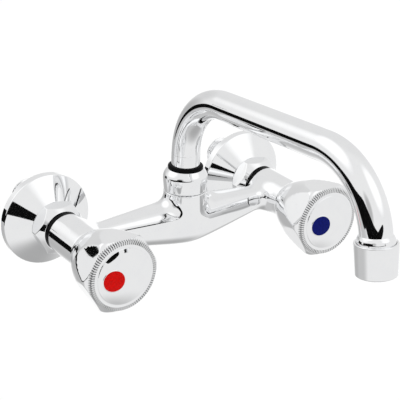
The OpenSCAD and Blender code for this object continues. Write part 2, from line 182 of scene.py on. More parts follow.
def make_object(
    name: str, verts: Array, faces: Array, normals: Array, groove: Array | None = None
) -> Object:
    """Makes an object at the origin from points in mm, n by 3, each with its outward normal.

    Faces are rows of four corner numbers, and a triangle repeats its last one. The groove says
    how deep in a groove each point lies, from 0 to 1.
    """
    triangle = faces[:, 2] == faces[:, 3]
    loops = faces[~(triangle[:, None] & (np.arange(4) == 3))].astype(np.int32)
    sizes = np.where(triangle, 3, 4)
    starts = np.concatenate([[0], np.cumsum(sizes)[:-1]]).astype(np.int32)
    mesh = bpy.data.meshes.new(name)
    mesh.vertices.add(len(verts))
    mesh.vertices.foreach_set("co", (verts * MM).astype(np.float32).ravel())
    mesh.loops.add(len(loops))
    mesh.loops.foreach_set("vertex_index", loops)
    mesh.polygons.add(len(faces))
    mesh.polygons.foreach_set("loop_start", starts)
    if groove is not None:
        layer = mesh.attributes.new("groove", "FLOAT", "POINT")
        layer.data.foreach_set("value", groove.astype(np.float32))
    mesh.update(calc_edges=True)
    mesh.validate()
    mesh.shade_smooth()
    length = np.linalg.norm(normals, axis=1, keepdims=True)
    mesh.normals_split_custom_set_from_vertices((normals / np.maximum(length, 1e-9)).tolist())
    return place_object(name, mesh)


def grid_faces(rows: int, columns: int, wrap: bool) -> Array:
    """Returns the quads of a grid of points whose rows close, and its columns if asked."""
    i, j = np.arange(rows), np.arange(columns if wrap else columns - 1)
    i, j = (x.ravel() for x in np.meshgrid(i, j, indexing="ij"))
    i1, j1 = (i + 1) % rows, (j + 1) % columns
    return np.stack([i * columns + j, i1 * columns + j, i1 * columns + j1, i * columns + j1], 1)


def skin(
    name: str, points: Array, normals: Array, closed: bool, groove: Array | None = None
) -> Object:
    """Makes an object from rows of points that go once round, one column for each station.

    If it is closed the last column joins the first, and if not each of them is one point.
    Normals and grooves are given for each point, as in make_object.
    """
    rows, columns = points.shape[:2]
    same = np.arange(rows * columns)
    for end in () if closed else (0, columns - 1):
        same[end::columns] = end
    faces = same[grid_faces(rows, columns, closed)]
    first, second = faces[:, 0] == faces[:, 1], faces[:, 2] == faces[:, 3]
    faces = np.where(first[:, None], faces[:, [1, 2, 3, 3]], faces)
    faces = np.where(second[:, None] & ~first[:, None], faces[:, [0, 1, 2, 2]], faces)
    used, back = np.unique(faces, return_inverse=True)
    points, normals = points.reshape(-1, 3)[used], normals.reshape(-1, 3)[used]
    groove = None if groove is None else groove.ravel()[used]
    return make_object(name, points, back.reshape(faces.shape), normals, groove)


def smooth_min(a: Array, b: Array, blend: float | Array) -> tuple[Array, Array]:
    """Returns the smaller of two fields, rounded over a width, and how much of it is the first.

    With x = (a - b) / blend held between -1 and 1, it is min(a, b) less blend (1 - |x|)^2 / 4.
    """
    x = np.clip((a - b) / blend, -1.0, 1.0)
    return np.minimum(a, b) - blend * (1.0 - np.abs(x)) ** 2 / 4.0, (1.0 - x) / 2.0


# Turned pieces


@dataclass(frozen=True)
class Flats:
    """Milled flats round a turned piece: r = reach / cos(angle from the flat's middle)."""

    count: int
    reach: float
    middle: float
    tilt: float = 0.0
    pivot: float = 0.0
    edge: float = 0.25

    def radius(self, angle: Array, station: Array) -> tuple[Array, Array, Array]:
        """Returns the nearest flats' radius there, and its slopes by angle and by station."""
        pitch = FULL_TURN / self.count
        lean = math.tan(math.radians(self.tilt))
        reach = self.reach + (station - self.pivot) * lean
        off = (angle - math.radians(self.middle) + pitch / 2) % pitch - pitch / 2
        near, far = 1 / np.cos(off), 1 / np.cos(pitch - np.abs(off))
        near_slope = np.sin(off) * near**2
        far_slope = -np.sign(off) * np.sin(pitch - np.abs(off)) * far**2
        value, share = smooth_min(near * reach, far * reach, self.edge)
        slope = (share * near_slope + (1 - share) * far_slope) * reach
        return value, slope, (share * near + (1 - share) * far) * lean


@dataclass(frozen=True)
class Relief:
    """Ridges cut into a turned surface between two stations.

    The depth is half a cosine wave of the phase, count times the angle plus station over pitch,
    sharpened by a power, and it fades in and out over a short ramp.
    """

    start: float
    end: float
    depth: float
    count: float = 0.0
    pitch: float = 0.0
    sharp: float = 1.0
    ramp: float = 0.5
    inside: float = 0.0

    def cut(self, angle: Array, station: Array) -> tuple[Array, Array, Array]:
        """Returns the depth cut at these places, and its slopes by angle and by station."""
        turn = FULL_TURN / self.pitch if self.pitch else 0.0
        phase = self.count * angle + turn * station
        wave = 0.5 - 0.5 * np.cos(phase)
        shape = wave**self.sharp
        slope = self.sharp * np.maximum(wave, TINY) ** (self.sharp - 1) * 0.5 * np.sin(phase)
        up = np.clip((station - self.start) / self.ramp, 0, 1)
        down = np.clip((self.end - station) / self.ramp, 0, 1)
        gate = (3 - 2 * up) * up**2 * (3 - 2 * down) * down**2
        d_up, d_down = 6 * up * (1 - up) / self.ramp, -6 * down * (1 - down) / self.ramp
        d_gate = d_up * (3 - 2 * down) * down**2 + d_down * (3 - 2 * up) * up**2
        by_angle = self.depth * gate * slope * self.count
        by_station = self.depth * (gate * slope * turn + d_gate * shape)
        return self.depth * gate * shape, by_angle, by_station


def turned(
    name: str, axis: Axis, section: Sequence[Triple], around: int = 192, longest: float = 3.0,
    flats: Flats | None = None, relief: Relief | None = None, closed: bool = True,
) -> Object:
    """Carries a half section round an axis, with flats milled and ridges cut.

    Ridges move a point inwards along the section's normal by their depth. The radius is then
    the smaller, slightly rounded, of this and the flats' radius. Normals are the cross product
    of the surface's slopes, which are (by_angle, radius, rise) by angle and (by_path, 0, along)
    by path, outwards, across and along the axis.

    Args:
        section: corners (radius, station, rounding radius) of half a section.
        around: points in one turn.
        longest: longest stretch of the section without a point.
        closed: whether the section closes, or starts and ends on the axis.
    """
    angle = (np.arange(around) * (FULL_TURN / around))[:, None]
    r, s, tr, ts = rounded(section, closed, longest)
    length = np.maximum(np.hypot(tr, ts), 1e-9)
    face_out, face_up = (ts / length)[None], (-tr / length)[None]
    radius, station, by_path, along = (np.repeat(row[None], around, 0) for row in (r, s, tr, ts))
    by_angle, rise, depth = (np.zeros_like(radius) for _ in range(3))
    if relief is not None:
        live = r[None] > relief.inside
        h, ha, hs = (value * live for value in relief.cut(angle, s[None]))
        hs = hs * ts[None]
        depth = h / relief.depth
        radius, station = radius - h * face_out, station - h * face_up
        by_angle, rise = by_angle - ha * face_out, rise - ha * face_up
        by_path, along = by_path - hs * face_out, along - hs * face_up
    if flats is not None:
        value, slope, lean = flats.radius(angle, station)
        radius, share = smooth_min(radius, value, flats.edge)
        depth = depth * share
        by_angle = share * by_angle + (1 - share) * slope
        by_path = share * by_path + (1 - share) * lean * ts[None]
    points = axis.place(radius, angle, station)
    out, over, up = radius * along, rise * by_path - by_angle * along, -radius * by_path
    pole = radius < TINY
    out, over = np.where(pole, 0.0, out), np.where(pole, 0.0, over)
    up = np.where(pole, -by_path, up)
    cos, sin = np.cos(angle), np.sin(angle)
    normals = axis.vector(out * cos - over * sin, out * sin + over * cos, up)
    return skin(name, points, normals, closed, None if relief is None else depth)


# Finishes


@dataclass
class Nodes:
    """Adds nodes to one tree, with their settings, values and links."""

    tree: bpy.types.NodeTree

    def add(self, kind: str, output: str, inputs: dict | None = None, **settings: str) -> Socket:
        """Adds a node and returns the named output.

        The kind is its type as it stands after ShaderNode. Each input, by name or number, has its
        value or the output that feeds it, and the settings are the node's own.
        """
        node = self.tree.nodes.new("ShaderNode" + kind)
        for key, value in settings.items():
            setattr(node, key, value)
        self.feed(node, inputs or {})
        return node.outputs[output]

    def feed(self, node: bpy.types.Node, inputs: dict) -> None:
        """Gives a node's inputs their values, or links them to the outputs that feed them."""
        for key, value in inputs.items():
            if isinstance(value, Socket):
                self.tree.links.new(value, node.inputs[key])
            else:
                node.inputs[key].default_value = value


def new_material(name: str) -> tuple[bpy.types.Material, bpy.types.Node, Nodes]:
    """Returns a new node material, its surface shader and a maker of nodes for its tree."""
    material = bpy.data.materials.new(name)
    material.use_nodes = True
    tree = material.node_tree
    return material, tree.nodes["Principled BSDF"], Nodes(tree)


@dataclass(frozen=True)
class Grain:
    """A noise pattern in Object coordinates that varies roughness and lifts the surface."""

    scale: float
    detail: float
    low: float
    high: float
    lift: float
    stretch: Triple = (1.0, 1.0, 1.0)
    noise_range: Pair = (0.3, 0.7)

    def apply(self, nodes: Nodes, shader: bpy.types.Node) -> Socket:
        """Links the pattern to the shader's roughness and normal, and returns the noise."""
        coords = nodes.add("TexCoord", "Object")
        place = nodes.add("Mapping", "Vector", {"Vector": coords, "Scale": self.stretch})
        inputs = {"Vector": place, "Scale": self.scale, "Detail": self.detail}
        noise = nodes.add("TexNoise", "Fac", inputs)
        inputs = {
            "Value": noise, "From Min": self.noise_range[0], "From Max": self.noise_range[1],
            "To Min": self.low, "To Max": self.high,
        }
        rough = nodes.add("MapRange", "Result", inputs)
        inputs = {"Height": noise, "Strength": 1.0, "Distance": self.lift}
        nodes.feed(shader, {"Roughness": rough, "Normal": nodes.add("Bump", "Normal", inputs)})
        return noise


@dataclass(frozen=True)
class Finish:
    """One surface finish: two shades that the grain mixes, metal or plastic, and painted shade in
    grooves.
    """

    name: str
    colour: Triple
    second: Triple
    grain: Grain
    metal: float = 0.0
    specular: float = 0.5
    # Painted shade in the grooves: how strongly the groove depth darkens the colour, and the dark
    # colour it mixes in.
    groove_shade: float = 0.0
    mixed_at: Pair = (0.35, 0.65)
    groove_shade_colour: Triple = (0.03, 0.03, 0.032)

    def make(self) -> bpy.types.Material:
        """Returns the material, made once for each name."""
        name = self.name + "_finish"
        known = bpy.data.materials.get(name)
        if known is not None:
            return known
        material, shader, nodes = new_material(name)
        plain = {"Metallic": self.metal, "Specular IOR Level": self.specular}
        nodes.feed(shader, {"Base Color": (*self.colour, 1.0), **plain})
        shade = nodes.add("ValToRGB", "Color", {"Fac": self.grain.apply(nodes, shader)})
        ends = shade.node.color_ramp.elements
        for end, where, colour in zip(ends, self.mixed_at, (self.colour, self.second)):
            end.position, end.color = where, (*colour, 1.0)
        # Painted shade: the colour is darkened by each point's groove depth, standing in for the
        # shade that falls into the knurl's grooves.
        if self.groove_shade:
            depth = nodes.add("Attribute", "Fac", attribute_name="groove")
            inputs = {0: depth, 1: self.groove_shade}
            amount = nodes.add("Math", "Value", inputs, operation="MULTIPLY")
            inputs = {"Factor": amount, "A": shade, "B": (*self.groove_shade_colour, 1.0)}
            shade = nodes.add("Mix", "Result", inputs, data_type="RGBA")
        nodes.feed(shader, {"Base Color": shade})
        return material

    def paint(self, obj: Object) -> None:
        """Makes this the object's only material."""
        obj.data.materials.clear()
        obj.data.materials.append(self.make())


PLATED = ((0.93, 0.935, 0.94), (0.915, 0.92, 0.93))
CHROME = Finish("polished_chrome", *PLATED, Grain(140.0, 2.0, 0.03, 0.05, 2e-6), metal=1.0)
# The knob's chrome, with painted shade darkening its knurl grooves.
GRIPPED = Finish(
    "gripped_chrome", *PLATED, Grain(140.0, 2.0, 0.012, 0.03, 2e-6), metal=1.0, groove_shade=0.92
)
BRASS = Finish(
    "turned_brass", (0.72, 0.5, 0.2), (0.62, 0.42, 0.16),
    Grain(900.0, 3.0, 0.22, 0.38, 1e-5, (1.0, 6.0, 1.0)), metal=1.0,
)
STEEL = Finish(
    "turned_steel", (0.56, 0.56, 0.56), (0.48, 0.48, 0.49),
    Grain(900.0, 3.0, 0.2, 0.34, 1e-5), metal=1.0,
)
BLACK_PLASTIC = Finish(
    "black_plastic", (0.003, 0.003, 0.0035), (0.005, 0.005, 0.0055),
    Grain(1200.0, 2.0, 0.2, 0.3, 8e-6), specular=0.03,
)
RUBBER = Finish(
    "black_rubber", (0.02, 0.02, 0.02), (0.03, 0.03, 0.03), Grain(1500.0, 3.0, 0.55, 0.75, 2e-5)
)
FIBRE = Finish(
    "pressed_fibre", (0.16, 0.15, 0.14), (0.26, 0.24, 0.22), Grain(2500.0, 4.0, 0.7, 0.9, 4e-5)
)
WHITE_PLASTIC = Finish(
    "aerator_plastic", (0.72, 0.72, 0.7), (0.66, 0.66, 0.64), Grain(1500.0, 2.0, 0.3, 0.42, 1e-5)
)
ENAMEL = Grain(900.0, 2.0, 0.12, 0.2, 6e-6)
RED = Finish("index_red", (0.66, 0.004, 0.003), (0.5, 0.003, 0.002), ENAMEL, specular=0.06)
BLUE = Finish("index_blue", (0.004, 0.009, 0.15), (0.002, 0.005, 0.1), ENAMEL, specular=0.06)


def dress(piece: Object, body: str, slot: str, finish: Finish, *nodes: str) -> None:
    """Gives a new piece its finish and body, hides the nodes it replaces, and reports it."""
    finish.paint(piece)
    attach(piece, body)
    if nodes:
        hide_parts(*nodes)
    LOG.info("%s: %d faces on %s", piece.name, len(piece.data.polygons), body)


# The casting


@dataclass
class Casting:
    """The cast body: two arms, the bridge between them and the boss under the spout.

    Its outside is the zero surface of one distance field, so the bridge runs into the arms and
    the boss with the soft fillets of a casting.
    """

    half_spacing: float = 75.0
    arm_r: float = 13.0
    arm_back: float = 30.3
    arm_front: float = 58.8
    front_width: float = 14.0
    front_slant: float = 0.75
    chamber_r: float = 10.55
    chamber_back: float = 33.5
    neck_r: float = 12.0
    neck_back: float = 22.6
    neck_front: float = 32.0
    reach: float = 46.1
    centre_reach: float = 45.5
    end_reach: float = 40.5
    squareness: float = 2.7
    run: float = 57.0
    past_run: float = 1.3
    sink: float = -1.0
    centre_r: float = 14.0
    end_r: float = 7.5
    boss_r: float = 13.4
    boss_top: float = 19.7
    spigot_r: float = 12.2
    spigot_rise: float = 3.0
    bend: float = 9.0
    arm_fillet: float = 9.0
    boss_fillet: float = 8.0
    least_fillet: float = 0.04
    edge: float = 0.6
    cell: float = 0.55
    probe: float = 0.01
    moves: int = 7
    least_steep: float = 0.25
    parts: int = 12
    margin: float = 1.3
    box_low: Pair = (-61.5, -16.5)
    box_high: Pair = (-21.4, 24.2)

    def distance(self, p: Array) -> Array:
        """Distance field of the casting, below zero inside.

        The bridge is a bar of rounded square section, (|y|^n + |z|^n)^(1/n) = r, whose middle
        line and radius change evenly with |x|, softened at the centre. Arms, boss and bridge are
        joined by a rounded minimum, narrower where the two surfaces run side by side, and planes
        that are rounded the same way cut the arms' ends. A round chamber for the valve is taken
        out of each arm. Points are n by 3, in mm, and each gets one value.
        """
        x, y, z = p[:, 0], p[:, 1], p[:, 2]
        ax = np.abs(x)
        soft = self.bend**2
        share = (np.sqrt(ax**2 + soft) - self.bend) / (math.sqrt(self.run**2 + soft) - self.bend)
        mid_y = -self.centre_reach + (self.centre_reach - self.end_reach) * share
        radius = self.centre_r + (self.end_r - self.centre_r) * np.minimum(share, self.past_run)
        slant = math.hypot(1.0, (self.centre_r - self.end_r) / self.run)
        dy, dz = y - mid_y, z - self.sink
        round_off = 1.0 / self.squareness
        across = (np.abs(dy) ** self.squareness + np.abs(dz) ** self.squareness) ** round_off
        bridge = (across - radius) / slant
        from_arm = np.hypot(ax - self.half_spacing, z)
        arm = from_arm - self.arm_r
        bridge = np.maximum(bridge, ax - self.half_spacing)
        joined, _ = smooth_min(bridge, arm, self.arm_fillet)
        past = np.maximum(0.0, self.half_spacing - self.front_width - ax)
        front = -y - self.arm_front - self.front_slant * past
        back = self.arm_back + y
        joined = self.cut_off(self.cut_off(joined, front), back)
        from_boss = np.hypot(x, y + self.reach)
        same = (y + self.reach) * dy / np.maximum(from_boss * np.hypot(dy, dz), TINY)
        fillet = self.boss_fillet * np.clip(1.0 - same, self.least_fillet, 1.0)
        boss = self.cut_off(from_boss - self.boss_r, z - self.boss_top)
        boss = np.maximum(boss, self.sink - z)
        whole, _ = smooth_min(joined, boss, fillet)
        ends = np.maximum(-y - self.neck_front, self.neck_back + y)
        neck = np.maximum(from_arm - self.neck_r, ends)
        spigot = np.maximum(from_boss - self.spigot_r, z - self.boss_top - self.spigot_rise)
        spigot = np.maximum(spigot, -z)
        solid = np.minimum(np.minimum(whole, neck), spigot)
        chamber = np.maximum(from_arm - self.chamber_r, y + self.chamber_back)
        return np.maximum(solid, -chamber)

    def cut_off(self, field: Array, plane: Array) -> Array:
        """Returns the field cut by the plane, with the edge rounded."""
        return -smooth_min(-field, -plane, self.edge)[0]

    def slope(self, p: Array) -> Array:
        """Returns the field's slope at the points, from differences over twice the probe."""
        h = self.probe
        pairs = ((self.distance(p + s), self.distance(p - s)) for s in h * np.eye(3))
        return np.stack([(above - below) / (2 * h) for above, below in pairs], 1)

    def surface(self) -> tuple[Array, Array, Array]:
        """Finds the zero surface on a grid of cells, as points, quads and normals.

        A cell whose corners differ in sign gets one point, moved to the surface by steps of
        value over slope along the slope, and each grid edge that crosses the surface gets the
        quad of its four cells.
        """
        wide = self.half_spacing + self.arm_r + self.margin
        low, high = np.array([-wide, *self.box_low]), np.array([wide, *self.box_high])
        count = np.ceil((high - low) / self.cell).astype(int)
        axes = [low[k] + self.cell * np.arange(count[k] + 1) for k in range(3)]
        mesh = np.stack(np.meshgrid(*axes, indexing="ij"), -1).reshape(-1, 3)
        value = np.concatenate([self.distance(part) for part in np.array_split(mesh, self.parts)])
        inside = value.reshape(count + 1) < 0
        (a, b, c), total = count, np.zeros(count, int)
        for i, j, k in np.ndindex(2, 2, 2):
            total += inside[i : i + a, j : j + b, k : k + c]
        active = (total > 0) & (total < 8)
        number = np.full(tuple(count), -1)
        number[active] = np.arange(active.sum())
        points = low + self.cell * (np.argwhere(active) + 0.5)
        start = points
        for _ in range(self.moves):
            g = self.slope(points)
            d = self.distance(points)
            steep = np.maximum((g**2).sum(1), self.least_steep)
            points = points - (d / steep)[:, None] * g
            points = np.clip(points, start - self.cell, start + self.cell)
        quads = []
        for axis in range(3):
            crossing = np.diff(inside.astype(int), axis=axis)
            where = np.argwhere(crossing)
            sides = np.eye(3, dtype=int)[[(axis + 1) % 3, (axis + 2) % 3]]
            steps = np.array([(-1, -1), (0, -1), (0, 0), (-1, 0)]) @ sides
            quad = np.stack([number[tuple((where + step).T)] for step in steps], 1)
            inwards = crossing[tuple(where.T)] > 0
            quad[inwards] = quad[inwards][:, ::-1]
            quads.append(quad)
        return points, np.concatenate(quads), self.slope(points)

    def build(self) -> None:
        """Builds and dresses the casting."""
        points, quads, normals = self.surface()
        piece = make_object("casting", points, quads, normals)
        dress(piece, "tap", "chrome", CHROME, "body")


# Wall side


@dataclass
class WallFitting:
    """One side's eccentric union, cone flange, union nut and black collar."""

    side: Side
    eccentricity: float = 7.0
    thread_length: float = 24.0
    thread_r: float = 10.48
    thread_end: float = 5.9
    thread_bore: float = 7.5
    block_step: float = 0.3
    block_end: float = 6.0
    play: float = 0.03
    union_r: float = 13.2
    union_bore: float = 8.5
    union_back: float = 3.9
    union_front: float = 20.6
    flange_r: float = 29.5
    flange_wall: float = 1.4
    rim: float = 4.8
    flange_depth: float = 14.2
    hub_length: float = 5.0
    nut_flats: float = 30.0
    nut_lip: float = 2.0
    nut_back: float = 14.7
    nut_front: float = 26.4
    collar_end: float = 30.3
    collar_step: float = 0.4
    arm_r: float = 13.0
    neck_r: float = 12.0

    def build(self) -> None:
        """Builds and dresses the pieces."""
        axis, tail = arm_axis(self.side), self.side.suffix
        dress(self.flange(axis, tail), "tap", "chrome", CHROME, "flange_" + tail)
        dress(self.nut(axis, tail), "tap", "chrome", CHROME, "nut_" + tail)
        dress(self.collar(axis, tail), "tap", "black_plastic", BLACK_PLASTIC, "collar_" + tail)
        for piece, nodes in self.union(axis, tail):
            dress(piece, "tap", "chrome", CHROME, *nodes)

    def flange(self, axis: Axis, tail: str) -> Object:
        """Returns the flange, a thin cone with an upright rim, turned from one closed section."""
        r, hub, wall = self.flange_r, self.union_r, self.flange_wall
        end, depth = hub + wall, self.flange_depth
        section = [
            (r - wall, 0, 0.15), (r, 0, 0.3), (r, self.rim, 1.1), (end + 0.3, depth, 0.7),
            (hub, depth, 0.2), (hub, depth - self.hub_length, 0.2),
            (end + 0.8, depth - self.hub_length, 0.3), (end + 3.4, depth - 3.2, 1.5),
            (r - wall, self.rim - wall, 1),
        ]
        return turned("wall_flange_" + tail, axis, section, 288)

    def nut(self, axis: Axis, tail: str) -> Object:
        """Returns the union nut: a section with two coned ends, milled to six flats."""
        half, lip = self.nut_flats / 2, self.nut_front - self.nut_lip
        bore, corner = self.neck_r + 0.05, self.nut_flats / math.sqrt(3) + 0.05
        section = [
            (bore, self.nut_front, 0.3), (bore, lip, 0.1), (self.union_r, lip, 0.1),
            (self.union_r, self.nut_back, 0.2), (half + 0.5, self.nut_back, 0.35),
            (corner, self.nut_back + 2.9, 1), (corner, self.nut_front - 5.2, 1.5),
            (half - 1.8, self.nut_front, 0.5),
        ]
        flats = Flats(6, half, 30.0, edge=0.3)
        return turned("union_nut_" + tail, axis, section, 360, 0.35, flats)

    def collar(self, axis: Axis, tail: str) -> Object:
        """Returns the black ring between nut and arm."""
        back, r = self.nut_front + 0.2, self.arm_r - self.collar_step
        section = [
            (self.neck_r, back, 0.1), (r, back, 0.45), (r, self.collar_end, 0.45),
            (self.neck_r, self.collar_end, 0.1),
        ]
        return turned("arm_collar_" + tail, axis, section)

    def union(self, axis: Axis, tail: str) -> list[tuple[Object, list[str]]]:
        """Returns the union's wall thread, block and front part, with the nodes they replace."""
        raised, start = arm_axis(self.side, self.eccentricity), -self.thread_length
        r = self.thread_r
        section = [
            (self.thread_bore, start, 0.2), (r - 0.9, start, 0.2), (r, start + 1.2, 0.3),
            (r, self.thread_end, 0.2), (self.thread_bore, self.thread_end, 0.2),
        ]
        thread = Relief(start + 0.6, -0.6, 1.1, 1.0, 1.814, 0.9, 0.9)
        rear = turned("union_thread_" + tail, raised, section, 160, 0.2, relief=thread)
        r = self.union_r - 0.02
        section = [
            (self.union_bore, self.union_back, 0.2), (r, self.union_back, 0.3),
            (r, self.union_front, 0.3), (self.union_bore, self.union_front, 0.2),
        ]
        front = turned("union_front_" + tail, axis, section, 160)
        return [(self.block(tail), []), (rear, ["union_" + tail]), (front, [])]

    def block(self, tail: str) -> Object:
        """Returns the eccentric block, the outline round both circles carried straight out.

        The outline at an angle a is the further of the two circles' support points, so it is the
        belt round them, and the two end rings are drawn in a little for a soft edge.
        """
        count, soft, end, middle = 128, 0.3, self.block_end, self.side.value
        a = (np.arange(count) * (FULL_TURN / count))[:, None]
        step_r = self.thread_r + self.block_step
        up = step_r + self.eccentricity * np.sin(a) > self.union_r
        stations = np.array([0.0, 0.0, soft, end - soft, end, end])
        shrink = np.array([0.0, soft, 0.0, 0.0, soft, 0.0])
        r = np.where(up, step_r, self.union_r) - self.play - shrink
        x, z = middle + r * np.cos(a), np.where(up, self.eccentricity, 0.0) + r * np.sin(a)
        points = np.stack(np.broadcast_arrays(x, -stations, z), -1)
        points[:, [0, -1], 0], points[:, [0, -1], 2] = middle, self.eccentricity / 2
        ends = np.array([1.0, 1.0, 0.0, 0.0, -1.0, -1.0])
        nx, nz = np.cos(a) * (ends == 0.0), np.sin(a) * (ends == 0.0)
        normals = np.stack(np.broadcast_arrays(nx, ends, nz), -1)
        return skin("union_block_" + tail, points, normals, False)


# Handles


@dataclass
class Handle:
    """One handle: a bell with six milled flats, a knurled ring, a dome and an index disc."""

    side: Side
    back: float = 59.3
    front: float = 101.3
    mouth_r: float = 13.1
    rim_r: float = 24.8
    rim_base: float = 92.4
    knurl_r: float = 21.75
    ring_front: float = 97.6
    plain_r: float = 19.4
    face_r: float = 17.5
    dome_r: float = 46.0
    flat_reach: float = 21.9
    flat_tilt: float = 3.0
    flat_middle: float = 150.0
    ridges: int = 92
    index_r: float = 6.75
    index_offset: float = 8.2
    index_depth: float = 1.4
    index_rise: float = 0.12
    hollow_steps: Steps = (
        (0, 17.5, 0), (6.5, 17.5, 0.3), (6.5, 24, 1), (19, 24, 2), (16.4, 13, 3),
        (11.7, 3, 2), (11.7, 0, 0.3),
    )
    bell_steps: Steps = (
        (14.8, 2.2, 20), (16.4, 5, 40), (18.1, 8.5, 50), (19.75, 12.7, 60),
        (21.25, 17.7, 80), (22.8, 23.2, 90),
    )
    rim_steps: Steps = ((0, 0, 6), (-0.5, 2, 3), (-1.8, 3.2, 1))
    bezel_steps: Steps = (
        (-0.3, 0, 0), (0.2, 0, 0), (0.2, 0.36, 0.12), (-0.02, 0.54, 0.12),
        (-0.3, 0.5, 0.08),
    )

    def build(self) -> None:
        """Builds and dresses the handle, its disc and the disc's rim."""
        axis, tail = arm_axis(self.side), self.side.suffix
        body = self.side.name.lower() + "_handle"
        dress(self.bell(axis, tail), body, "knob_chrome", GRIPPED, "knob_" + tail)
        finish = RED if self.side is Side.HOT else BLUE
        dress(self.disc(tail), body, finish.name, finish, "index_" + tail)
        dress(self.disc_rim(tail), body, "knob_chrome", CHROME)

    def bell(self, axis: Axis, tail: str) -> Object:
        """Returns the handle's shell: a bell section, milled to flats, with a knurled ring."""
        rim, ring, edge = self.rim_base, self.ring_front, self.knurl_r
        crown = dome(self.face_r, self.dome_r, self.front - self.dome_r, 1.0, 60.0)
        section = [
            *shifted(self.hollow_steps, 0, self.back), (self.mouth_r, self.back, 0.4),
            *shifted(self.bell_steps, 0, self.back), *shifted(self.rim_steps, self.rim_r, rim),
            (edge, rim + 3.8, 0.15), (edge, ring - 0.3, 0.1), (edge - 0.3, ring, 0.1),
            (self.plain_r + 0.1, ring, 0.1), (self.plain_r, ring - 0.12, 0.05),
            (self.face_r, ring - 0.12, 0.1), (*crown[0][:2], 0.35), *crown[1:],
        ]
        knurl = Relief(rim + 3.5, ring + 0.2, 0.4, self.ridges, 0.0, 2.2, 0.15, self.plain_r)
        flats = Flats(6, self.flat_reach, self.flat_middle, self.flat_tilt, rim, 0.3)
        around = 6 * self.ridges
        return turned("handle_" + tail, axis, section, around, 2.8, flats, knurl, False)

    def disc_axis(self) -> Axis:
        """Returns the line through the dome's centre that the index disc is turned about."""
        tilt = math.asin(self.index_offset / self.dome_r)
        along = (-math.sin(tilt), -math.cos(tilt), 0.0)
        radial = (math.cos(tilt), -math.sin(tilt), 0.0)
        centre = (self.side.value, -(self.front - self.dome_r), 0.0)
        return Axis(centre, radial, (0.0, 0.0, 1.0), along)

    def disc_rim(self, tail: str) -> Object:
        """Returns the thin bright rim round the index disc."""
        low = math.sqrt(self.dome_r**2 - self.index_r**2) - 0.3
        section = shifted(self.bezel_steps, self.index_r, low)
        return turned("index_rim_" + tail, self.disc_axis(), section, 128)

    def disc(self, tail: str) -> Object:
        """Returns the index disc, a shallow dome let into the handle's face."""
        low, top, r = self.dome_r - self.index_depth, self.dome_r + self.index_rise, self.index_r
        edge = (r, math.sqrt(top**2 - r**2), 0.25)
        section = [(0, low, 0), (r, low, 0.2), edge, *dome(r, top, 0.0, 0.9, 30.0)]
        return turned("index_disc_" + tail, self.disc_axis(), section, 128, closed=False)


# Swivel and spout


@dataclass
class Swivel:
    """The plain nut and the black bearing ring under the spout."""

    reach: float = 46.1
    base: float = 20.1
    nut_r: float = 13.95
    shoulder: float = 28.6
    top: float = 34.2
    inner_top: float = 31.65
    neck_r: float = 12.2
    hole_r: float = 10.4
    ring_r: float = 11.0
    ring_top: float = 36.5
    tube_r: float = 9.06
    nut_steps: Steps = (
        (-0.1, -3, 20), (0, -1, 8), (-0.1, 1, 5), (-0.6, 2.5, 4), (-1.4, 3.8, 4),
    )

    def build(self) -> None:
        """Builds and dresses both pieces."""
        axis, r, top = upright_axis(-self.reach), self.nut_r, self.top
        hollow = self.inner_top - 0.1
        nut = [
            (self.neck_r, self.base, 0.1), (r - 0.9, self.base, 0.25),
            (r - 0.6, self.base + 0.5, 0.6), *shifted(self.nut_steps, r, self.shoulder),
            (r - 2.75, top, 0.4), (self.hole_r, top, 0.15), (self.hole_r, hollow, 0.1),
            (self.neck_r, hollow, 0.1),
        ]
        piece = turned("swivel_nut_shell", axis, nut, 240, 0.8)
        dress(piece, "tap", "chrome", CHROME, "swivel_nut")
        r = self.ring_r
        ring = [
            (self.tube_r, self.inner_top, 0.1), (self.hole_r, self.inner_top, 0.1),
            (self.hole_r, top, 0.05), (r - 0.5, top, 0.2), (r, top + 0.6, 0.5),
            (r, self.ring_top - 0.9, 0.6), (r - 1, self.ring_top, 0.6),
            (self.tube_r, self.ring_top, 0.3),
        ]
        piece = turned("swivel_ring_shell", axis, ring)
        dress(piece, "tap", "black_plastic", BLACK_PLASTIC, "swivel_ring")


